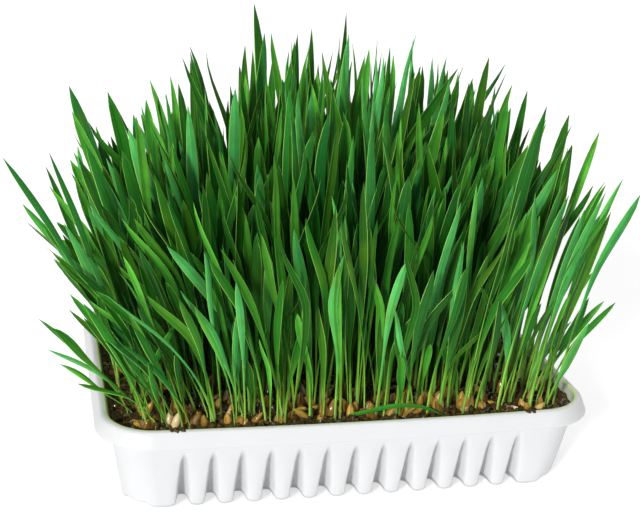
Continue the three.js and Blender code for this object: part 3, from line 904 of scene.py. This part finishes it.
def add_soil(material):
    """The soil as one closed lump: a crumbly top and plain sides inside the ribs."""
    across, deep = SOIL_GRID
    grid_x, grid_y = np.meshgrid(np.linspace(-1, 1, across), np.linspace(-1, 1, deep))
    flat_x, flat_y = grid_x.ravel(), grid_y.ravel()
    half_x, half_y = HALF_LENGTH - SOIL_INSET, HALF_DEPTH - SOIL_INSET
    angle = np.arctan2(flat_y * half_y, flat_x * half_x)
    reach = soil_outline(angle, SOIL_INSET, SOIL_CORNER) * np.maximum(abs(flat_x), abs(flat_y))
    x, y = np.cos(angle) * reach, np.sin(angle) * reach
    z = np.array([soil_height(*place) for place in zip(x, y)])
    vertices = [np.stack([x, y, z], 1)]
    index = np.arange(across * deep).reshape(deep, across)
    quads = np.stack([index[:-1, :-1], index[:-1, 1:], index[1:, 1:], index[1:, :-1]], -1)
    faces = quads.reshape(-1, 4).tolist()
    upper = [*index[0, :-1], *index[:-1, -1], *index[-1, :0:-1], *index[:0:-1, 0]]
    angle, start = angle[upper], across * deep
    for height, inset in SOIL_SIDES:
        reach = soil_outline(angle, inset, SOIL_SIDE_CORNER)
        ring = (np.cos(angle) * reach, np.sin(angle) * reach, np.full(len(angle), height))
        vertices.append(np.stack(ring, 1))
        lower = list(range(start, start + len(angle)))
        faces += bridge(lower, upper)
        upper, start = lower, start + len(angle)
    faces.append(upper[::-1])
    points = np.concatenate(vertices)
    shade = low_shade(points)
    return add_piece("soil_bed", points, faces, material, ["soil"], values=shade)


def lump_points(around, rings):
    """Unit ball points in closed rings, with small end rings."""
    polar = np.linspace(0.12, math.pi - 0.12, rings)
    ring = np.stack([np.cos(turns(around)), np.sin(turns(around))], 1)
    return np.array([
        (*(ring[i] * math.sin(p)), -math.cos(p)) for p in polar for i in range(around)
    ])


def turned(rng, lean_most):
    """A random turn about the upright, after a lean of up to lean_most from it."""
    lean = Matrix.Rotation(rng.uniform(0.1, 1) * lean_most, 3, "X")
    spin = Matrix.Rotation(rng.uniform(0, 2 * math.pi), 3, "Z")
    roll = Matrix.Rotation(rng.uniform(0, 2 * math.pi), 3, "Z")
    return np.array(spin @ lean @ roll)


def soil_place(rng, front_share=0.45, margin=0.0115):
    """A random place on the soil within a margin, more often near the front where it shows."""
    depth = HALF_DEPTH - margin
    while True:
        x = rng.uniform(-1, 1) * (HALF_LENGTH - margin)
        y = rng.uniform(-1, 1) * depth
        if rng.random() < front_share:
            y = -depth + rng.uniform(0, 1) ** 1.6 * FRONT_STRIP
        corner = (max(0, abs(x) - (HALF_LENGTH - CORNER_SIZE))
                  + max(0, abs(y) - (HALF_DEPTH - CORNER_SIZE)))
        if corner < (CORNER_SIZE - margin) * 1.3:
            return x, y


def add_crumbs(count, material):
    """Loose crumbs of soil, and two lumps that have spilled onto the front rim."""
    rng = np.random.default_rng(5)
    around, rings = 7, 5
    ball = lump_points(around, rings)
    vertices, faces = [], []
    for number in range(count + len(SPILLS)):
        radius = rng.uniform(*(FINE_CRUMBS if rng.random() < FINE_CRUMB_SHARE else COARSE_CRUMBS))
        if number < len(SPILLS):
            place, radius = np.array(SPILLS[number]), SPILL_RADIUS
        else:
            x, y = soil_place(rng, margin=0.0080)
            place = np.array([x, y, soil_height(x, y) + radius * 0.35])
        rough = 1 + 0.34 * rng.standard_normal(len(ball)).clip(-1, 1)
        shape = ball * rough[:, None] * rng.uniform(0.6, 1.1, 3) @ turned(rng, 3).T
        faces += ring_faces(rings, around, number * len(ball))
        vertices.append(shape * radius + place)
    points = np.concatenate(vertices)
    return add_piece("soil_crumbs", points, faces, material, values=low_shade(points))


def add_rootlets(count, material):
    """Fine pale roots that wander over the soil."""
    rng = np.random.default_rng(11)
    steps, around = 9, 5
    turn = turns(around)
    vertices, faces = [], []
    for number in range(count):
        x, y = soil_place(rng)
        heading = rng.uniform(0, 2 * math.pi)
        path = []
        for step in range(steps):
            lift = 0.0008 * math.sin(step / (steps - 1) * math.pi) * rng.uniform(0.4, 1.5)
            path.append((x, y, soil_height(x, y) + lift - 0.0001))
            heading += rng.normal(0, 0.45)
            x += math.cos(heading) * ROOT_STEP
            y += math.sin(heading) * ROOT_STEP
            x = min(max(x, ROOT_MARGIN - HALF_LENGTH), HALF_LENGTH - ROOT_MARGIN)
            y = min(max(y, ROOT_MARGIN - HALF_DEPTH), HALF_DEPTH - ROOT_MARGIN)
        radii = np.linspace(*ROOT_RADII, steps)[:, None] * rng.uniform(0.7, 1.4)
        faces += ring_faces(steps, around, number * steps * around)
        path = np.array(path)
        side, front = side_and_front(path, (0.1, 0.2, 1.0))
        tube = loft(path, side, front, np.cos(turn) * radii, -np.sin(turn) * radii)
        vertices.append(tube.reshape(-1, 3))
    return add_piece("rootlets", np.concatenate(vertices), faces, material)


def grain_shape(around, rings):
    """A wheat grain of unit length along Z and unit width, with a crease down one side: its
    points, and where they lie on the surface."""
    along = np.linspace(0.012, 0.988, rings)
    girth = np.sin(np.pi * along**0.86) ** 0.62 * (1 - 0.16 * along)
    turn = turns(around)
    crease = 1 - 0.26 * np.exp(-((np.angle(np.exp(1j * turn))) / 0.34) ** 2)
    flat = 0.86 + 0.14 * np.cos(turn) ** 2
    ring = np.stack([np.cos(turn) * flat, np.sin(turn)], 1) * crease[:, None] * 0.5
    points, surface = [], []
    for share, wide in zip(along, girth):
        for i in range(around):
            points.append((*(ring[i] * wide), share - 0.5))
            surface.append((i / around, share))
    return np.array(points), np.array(surface)


def add_grains(sizes, material):
    """Sprouted grains among the stems, some lying and some standing in the soil."""
    rng = np.random.default_rng(23)
    around, rings = 14, 13
    points, surface = grain_shape(around, rings)
    vertices, faces, surfaces, seeds = [], [], [], []
    for number in range(sizes.count):
        x, y = soil_place(rng, 0.6)
        length = sizes.length * rng.uniform(0.72, 1.12)
        width = sizes.width * rng.uniform(0.70, 1.08)
        lean = math.radians(rng.choice(GRAIN_LEANS, p=GRAIN_LEAN_ODDS))
        shape = points * (width, width, length) @ turned(rng, lean).T
        sink = rng.uniform(0.15, 0.75) * width
        place = np.array([x, y, soil_height(x, y) - shape[:, 2].min() - sink])
        faces += ring_faces(rings, around, number * len(points))
        vertices.append(shape + place)
        surfaces.append(surface)
        seeds.append(np.full(len(points), rng.random()))
    points = np.concatenate(vertices)
    return add_piece(
        "sprouted_grains", points, faces, material, GRAIN_NODES,
        across_along=np.concatenate(surfaces),
        values={"seed": np.concatenate(seeds), **low_shade(points)},
    )


def row_place(row):
    """Where a row stands in the tray's depth."""
    return (row - (ROWS - 1) / 2) * ROW_PITCH


def root_place(row, share):
    """Where a blade of a row is rooted, from -1 at the left end to 1 at the right."""
    half = OUTER_ROW_HALF_LENGTH if row in (0, ROWS - 1) else ROW_HALF_LENGTH
    return share * (half - ROW_END)


def slimness(row):
    """Blades of the front rows are slimmer."""
    return mix(0.74, 1.0, float(ease(row, 0, 6)))


def full_height(place, share):
    """Front rows are shorter but at the right, and every row drops towards its two ends."""
    front = mix(FRONT_ROW_SHARE, FRONT_ROW_END_SHARE, float(ease(share, 0.3, 0.9)))
    middle = TALLEST * mix(front, 1, float(ease(place, -0.066, 0.006)))
    if share < 0:
        return middle - LEFT_DROP * (-share) ** LEFT_DROP_POWER
    return middle - RIGHT_DROP * share**RIGHT_DROP_POWER


def row_reach(share):
    """Blades stand upright in the middle and reach outwards towards the two ends."""
    return (LEFT_REACH if share < 0 else RIGHT_REACH) * share * math.sqrt(abs(share))


def fanned(place, rise):
    """Rows fan out to the front and the back as they rise."""
    return place * (1 + ROW_FAN * rise**1.5)


def fanned_place(place, x, z):
    """Where a row's blade gets to in the depth of the stand. All rows sway together."""
    rise = np.clip(z - SOIL_TOP, 0, None) / TALLEST
    return fanned(place, rise) + SWAY * rise * np.sin(45 * x + 20 * z + 1)


def main_blades(row):
    """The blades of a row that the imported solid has, from the same draws."""
    draw = draws(1000 + row * 37)
    place = row_place(row)
    stagger = 0.15 + 0.7 * ((row * ROW_STAGGER) % 1)
    blades = []
    for number in range(BLADES_PER_ROW):
        step = number + stagger + 0.3 * (next(draw) - 0.5)
        share = min(max(step / BLADES_PER_ROW * 2 - 1, -1), 1)
        grown = mix(GROWN_LEAST, 1, next(draw) ** GROWN_POWER)
        height = full_height(place, share) * grown
        root = root_place(row, share)
        reach = row_reach(share) + LEAN_JITTER * (next(draw) - 0.5) * height
        width = mix(BLADE_WIDTH_MIN, BLADE_WIDTH_MAX, next(draw))
        drift = 0.0016 * (next(draw) - 0.5)
        room = (ROW_PITCH / 2 - 0.0011 - abs(drift)) / (width / 2)
        facing = math.asin(min(0.9, room)) * (next(draw) * 2 - 1) * 0.8
        twist = 0.25 * (next(draw) - 0.5)
        blades.append((root, root + reach, height, place, drift, width, facing, twist))
    for side_row, root, tip, height, width in SIDE_BLADES:
        if side_row == row:
            tip = min(tip, SIDE_TIP_MAX)
            blades.append((root, tip, height, place, 0.0, width * SIDE_SLIMNESS, 0.3, 0.0))
    return blades


def filler_blades(row, count, rng):
    """Further blades of a row, finer and more varied than those of the solid."""
    blades = []
    for number in range(count):
        share = ((number + rng.random()) / count * 2 - 1) * 0.99
        place = row_place(row) + rng.uniform(-0.5, 0.5) * ROW_PITCH
        place = min(max(place, row_place(0) - 0.0008), row_place(ROWS - 1) + 0.0008)
        grown = rng.choice([rng.uniform(*growth) for growth in GROWTHS], p=GROWTH_ODDS)
        height = full_height(place, share) * grown * (1 - 0.16 * float(ease(-share, 0.5, 0.9)))
        root = root_place(row, share)
        lean = rng.normal(0, WIDE_LEAN_SPREAD if rng.random() < WIDE_LEAN_SHARE else LEAN_SPREAD)
        swept = 0.24 * ease(-share, 0.1, 0.6) * (1 - ease(place, -0.055, -0.010))
        furthest = mix(*FURTHEST_TIPS, (number * ROW_STAGGER) % 1)
        reach = max(row_reach(share) + (lean - swept) * height, FURTHEST_LEFTWARDS)
        reach = min(reach, furthest - root)
        width = rng.uniform(*FILLER_WIDTHS) * slimness(row)
        drift = rng.normal(0, 0.004)
        blades.append((root, root + reach, height, place, drift, width,
                       rng.normal(0, 0.55), rng.normal(0, 0.6)))
    return blades


def inner_shade(x, y, z, canopy):
    """Painted shade from how deep a place lies in the stand, from 0 outside to 1 well within."""
    rise = np.clip(z - SOIL_TOP, 0, None) / TALLEST
    edge = fanned(row_place(ROWS - 1), rise)
    inwards = np.minimum(edge - np.abs(y), ROW_HALF_LENGTH + 0.02 * rise - np.abs(x))
    return ease(np.minimum(inwards * 1.35, canopy - z), 0.002, 0.040)


def blade_mesh(blades, steady, rings, rng):
    """Vertices, faces and surface values of blades: round stems that open into folded leaves.
    The first `steady` blades, the solids' own, vary less so that they keep their shapes."""
    root, tip, height, place, drift, width, facing, twist = np.array(blades).T[:, :, None]
    count = len(blades)
    free = (np.arange(count) >= steady)[:, None]

    def spread(low, high):
        return rng.uniform(low, high, (count, 1))

    along = np.linspace(0, 1, rings)
    opening = np.where(free, spread(*OPENINGS), spread(*STEADY_OPENINGS))
    opening = opening * (1.08 - 0.08 * ease(place, row_place(1), row_place(6)))
    left_front = ease(-root, 0.015, 0.060) * (1 - ease(place, row_place(4), row_place(9)))
    opening = opening * (1 + LEFT_FRONT_OPENING * left_front)
    phase = spread(0, 2 * math.pi)
    sway = spread(0.0, BEND) * np.where(free, 2.2, 1)
    wander = sway * np.sin(along * spread(3.5, 6.5) + phase) * along
    hook = rng.normal(0, 1, (count, 1)) * np.where(free, HOOK, STEADY_HOOK)
    hook = hook * ease(along, 0.62, 1.0)
    hook = hook * (1 - 0.6 * ease(root, 0.060, 0.075))
    x = root + (tip - root) * (0.45 * along + 0.55 * along**2) + wander + hook
    z = SOIL_TOP + height * along
    z[:, 0] = SOIL_TOP - 0.003
    y = fanned_place(place, x, z) + drift * np.minimum(1, 2 * along)
    line = np.stack([x, y, z], -1)
    side, front = side_and_front(line, (0.0, -1.0, 0.0))
    turn = (facing + twist * along)[..., None]
    side, front = (side * np.cos(turn) + front * np.sin(turn),
                   front * np.cos(turn) - side * np.sin(turn))

    blunt = spread(0.0, 1.0) * np.where(height < TALL_BLADE, 1, 0.6)
    opened = along[None] ** opening
    swell = mix(np.interp(opened, WIDTH_ALONG, WIDTH_SHARE),
                np.interp(opened, WIDTH_ALONG, BLUNT_SHARE), blunt)
    half = (width * (1 - LEFT_FRONT_SLIMNESS * left_front) * swell / 2)[..., None]
    roundness = (1 - ease(along, 0.26, 0.46))[None, :, None]
    fold = rng.uniform(*FOLDS, (count, 1, 1))
    sheet = LEAF_SHEET / np.maximum(half, 0.0002)
    angle = -turns(BLADE_CORNERS)
    across = np.cos(angle)[None, None]
    leaf = fold * (np.abs(across) - 0.5) + sheet * np.sin(angle)
    depth = roundness * STEM_DEPTH * np.sin(angle) + (1 - roundness) * leaf
    points = loft(line, side, front, across * half, depth * half)
    faces = []
    for number in range(count):
        faces += ring_faces(rings, BLADE_CORNERS, number * rings * BLADE_CORNERS)

    shape = (count, rings, BLADE_CORNERS)
    surface = np.stack([np.broadcast_to(across / 2 + 0.5, shape),
                        np.broadcast_to(along[None, :, None], shape)], -1)
    shares = np.clip(root[:, 0] / ROW_HALF_LENGTH, -1, 1)
    tops = np.array([full_height(*pair) for pair in zip(place[:, 0], shares)])
    # Painted shade on blades deep in the stand and low under its canopy
    shade = inner_shade(x, y, z, SOIL_TOP + CANOPY_SHARE * tops[:, None])
    # vigour_and_light sets each blade's share of dull shaded and lit painted colour
    values = {"tint": rng.random((count, 1, 1)), "vigour_and_light": rng.random((count, 1, 1)),
              "shade": shade[..., None]}
    values = {name: np.broadcast_to(value, shape).ravel() for name, value in values.items()}
    return points.reshape(-1, 3), faces, surface.reshape(-1, 2), values


def add_grass_row(row, sizes, material):
    """One row of blades, which stands for the solid row."""
    rng = np.random.default_rng(100 + row)
    main = [(*blade[:5], blade[5] * slimness(row), *blade[6:]) for blade in main_blades(row)]
    fillers = sizes.front_fillers if row < FRONT_ROWS else sizes.fillers
    blades = main + filler_blades(row, fillers, rng)
    points, faces, surface, values = blade_mesh(blades, len(main), sizes.rings, rng)
    return add_piece(
        f"blades_row_{row + 1:02d}", points, faces, material, [GRASS_NODES[row]],
        across_along=surface, values=values,
    )


def add_short_blades(sizes, material):
    """Late shoots, which stand low among the front rows."""
    rng = np.random.default_rng(77)
    blades = []
    for number in range(sizes.short_blades):
        share = ((number + rng.random()) / sizes.short_blades * 2 - 1) * 0.96
        root = share * ROW_HALF_LENGTH
        height = rng.uniform(*SHORT_HEIGHTS)
        tip = root + (row_reach(share) * 0.4 + rng.normal(0, 0.18) * height)
        place = row_place(0) + rng.uniform(0, 1) ** 1.5 * SHORT_ROWS * ROW_PITCH
        blades.append((root, tip, height, place, rng.normal(0, 0.002), rng.uniform(*SHORT_WIDTHS),
                       rng.normal(0, 0.5), rng.normal(0, 0.5)))
    points, faces, surface, values = blade_mesh(blades, len(blades), sizes.rings, rng)
    return add_piece(
        "short_blades", points, faces, material, across_along=surface, values=values,
    )


def add_fallen_blade(material):
    """A blade that has fallen over and arches low along the front rim."""
    keys = np.array([
        (-0.004, 0.0, -0.0020), (-0.003, 0.0, 0.0015), (0.006, -0.0024, 0.0042),
        (0.016, -0.0034, 0.0066), (0.026, -0.0036, 0.0052), (0.034, -0.0036, 0.0012),
    ]) + (0.0, row_place(0), SOIL_TOP)
    share = np.linspace(0, 1, 22)
    knots = np.linspace(0, 1, len(keys))
    line = np.stack([np.interp(share, knots, keys[:, axis]) for axis in range(3)], 1)
    for _ in range(3):
        line[1:-1] = (line[:-2] + 2 * line[1:-1] + line[2:]) / 4
    wide = np.interp(share, (0, 0.15, 0.5, 0.8, 1), (0.0005, 0.0006, 0.0009, 0.0007, 0.0001))
    side, front = side_and_front(line, (0.0, -0.75, 0.66))
    angle = -turns(BLADE_CORNERS)[None]
    points = loft(line, side, front, np.cos(angle) * wide[:, None], np.sin(angle) * 0.0003)
    surface = np.stack(np.broadcast_arrays(
        np.cos(angle) / 2 + 0.5, 0.25 + 0.7 * share[:, None]), -1)
    even = np.ones(len(share) * BLADE_CORNERS)
    return add_piece(
        "fallen_blade", points.reshape(-1, 3), ring_faces(len(share), BLADE_CORNERS), material,
        across_along=surface.reshape(-1, 2),
        values={"tint": even * 0.5, "vigour_and_light": even * 0.62, "shade": even * 0},
    )


def add_sun(name, place, strength, spread):
    """An even light from the direction of a place, softened over a spread in degrees."""
    light = bpy.data.lights.new(name, "SUN")
    light.energy = strength
    light.angle = math.radians(spread)
    add_object(name, light).rotation_euler = Vector(place).to_track_quat("Z", "Y").to_euler()


class WHEATGRASS_OT_stage(bpy.types.Operator):
    """Adds the camera, the pale floor and the soft studio light"""

    bl_idname = "wheatgrass.stage"
    bl_label = "Stage"

    def execute(self, context):
        sizes = context.scene.wheatgrass_studio
        scene = context.scene
        camera = bpy.data.cameras.new("photo_camera")
        camera.sensor_width = 36
        camera.lens = sizes.lens
        camera.clip_start, camera.clip_end = 0.01, 20
        stand = add_object("photo_camera", camera)
        stand.matrix_world = (
            Matrix.Translation(sizes.camera_place)
            @ Matrix.Rotation(-sizes.yaw, 4, "Z")
            @ Matrix.Rotation(math.pi / 2 - sizes.pitch, 4, "X")
            @ Matrix.Rotation(sizes.roll, 4, "Z")
        )
        scene.camera = stand

        world = bpy.data.worlds.new("studio")
        world.use_nodes = True
        background = world.node_tree.nodes["Background"]
        seen = add_node(world.node_tree, "ShaderNodeLightPath").outputs["Is Camera Ray"]
        strength = map_range(world.node_tree, seen, 0.0, 1.0, WORLD_LIGHT, WORLD_SEEN)
        set_inputs(background, {"Color": (1, 1, 1), "Strength": strength})
        scene.world = world
        scene.view_settings.view_transform = "Standard"

        material, tree, shader = new_material("Pale floor")
        shade = add_group(tree, "Mottle", Scale=6.0, Detail=2.0)
        set_inputs(shader, {
            "Base Color": mix_colour(tree, shade, [c * 0.99 for c in sizes.floor], sizes.floor),
            "Roughness": 0.9,
            "Emission Color": (1, 1, 1),
            "Emission Strength": sizes.floor_glow,
        })
        mesh = bpy.data.meshes.new("floor")
        corners = [(x * FLOOR_REACH, y * FLOOR_REACH, 0) for x, y in FLOOR_CORNERS]
        mesh.from_pydata(corners, [], [(0, 1, 2, 3)])
        mesh.materials.append(material)
        floor = add_object("floor", mesh)

        add_sun("key_light", (-0.56, -0.78, 0.36), 2.6, 7)
        add_sun("top_light", (-0.10, -0.25, 1.0), 1.5, 55)
        add_sun("fill_light", (0.72, 0.60, 0.55), 0.55, 50)
        return {"FINISHED"}


class WHEATGRASS_OT_tray(bpy.types.Operator):
    """Adds the moulded tray"""

    bl_idname = "wheatgrass.tray"
    bl_label = "Tray"

    def execute(self, context):
        sizes = context.scene.wheatgrass_tray
        add_tray(sizes, plastic_material(sizes.colour))
        return {"FINISHED"}


class WHEATGRASS_OT_soil(bpy.types.Operator):
    """Adds the soil, its crumbs and the rootlets"""

    bl_idname = "wheatgrass.soil"
    bl_label = "Soil"

    def execute(self, context):
        sizes = context.scene.wheatgrass_soil
        material = soil_material(sizes.dark, sizes.pale)
        add_soil(material)
        add_crumbs(sizes.crumbs, material)
        add_rootlets(sizes.rootlets, root_material())
        return {"FINISHED"}


class WHEATGRASS_OT_grains(bpy.types.Operator):
    """Adds the sprouted grains"""

    bl_idname = "wheatgrass.grains"
    bl_label = "Grains"

    def execute(self, context):
        sizes = context.scene.wheatgrass_grains
        add_grains(sizes, husk_material(sizes.husk, sizes.highlight))
        return {"FINISHED"}


class WHEATGRASS_OT_grass(bpy.types.Operator):
    """Adds the rows of grass, the short shoots and the fallen blade"""

    bl_idname = "wheatgrass.grass"
    bl_label = "Grass"

    def execute(self, context):
        sizes = context.scene.wheatgrass_grass
        material = leaf_material(sizes)
        for row in range(ROWS):
            add_grass_row(row, sizes, material)
        add_short_blades(sizes, material)
        add_fallen_blade(material)
        return {"FINISHED"}


OPERATORS = (
    WHEATGRASS_OT_stage,
    WHEATGRASS_OT_tray,
    WHEATGRASS_OT_soil,
    WHEATGRASS_OT_grains,
    WHEATGRASS_OT_grass,
)


class WHEATGRASS_PT_panel(bpy.types.Panel):
    """Lists the steps in the sidebar"""

    bl_label = "Wheatgrass Tray"
    bl_idname = "WHEATGRASS_PT_panel"
    bl_space_type = "VIEW_3D"
    bl_region_type = "UI"
    bl_category = "Wheatgrass"

    def draw(self, context):
        for operator in OPERATORS:
            self.layout.operator(operator.bl_idname)


PROPERTIES = {
    "wheatgrass_studio": StudioProperties,
    "wheatgrass_tray": TrayProperties,
    "wheatgrass_soil": SoilProperties,
    "wheatgrass_grains": GrainProperties,
    "wheatgrass_grass": GrassProperties,
}


def register():
    for properties in PROPERTIES.values():
        bpy.utils.register_class(properties)
    for name, properties in PROPERTIES.items():
        setattr(bpy.types.Scene, name, bpy.props.PointerProperty(type=properties))
    for operator in OPERATORS:
        bpy.utils.register_class(operator)
    bpy.utils.register_class(WHEATGRASS_PT_panel)


def unregister():
    bpy.utils.unregister_class(WHEATGRASS_PT_panel)
    for operator in reversed(OPERATORS):
        bpy.utils.unregister_class(operator)
    for name in PROPERTIES:
        delattr(bpy.types.Scene, name)
    for properties in reversed(PROPERTIES.values()):
        bpy.utils.unregister_class(properties)


def main():
    register()
    bpy.ops.wheatgrass.stage()
    bpy.ops.wheatgrass.tray()
    bpy.ops.wheatgrass.soil()
    bpy.ops.wheatgrass.grains()
    bpy.ops.wheatgrass.grass()
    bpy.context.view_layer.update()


if __name__ == "__main__":
    main()
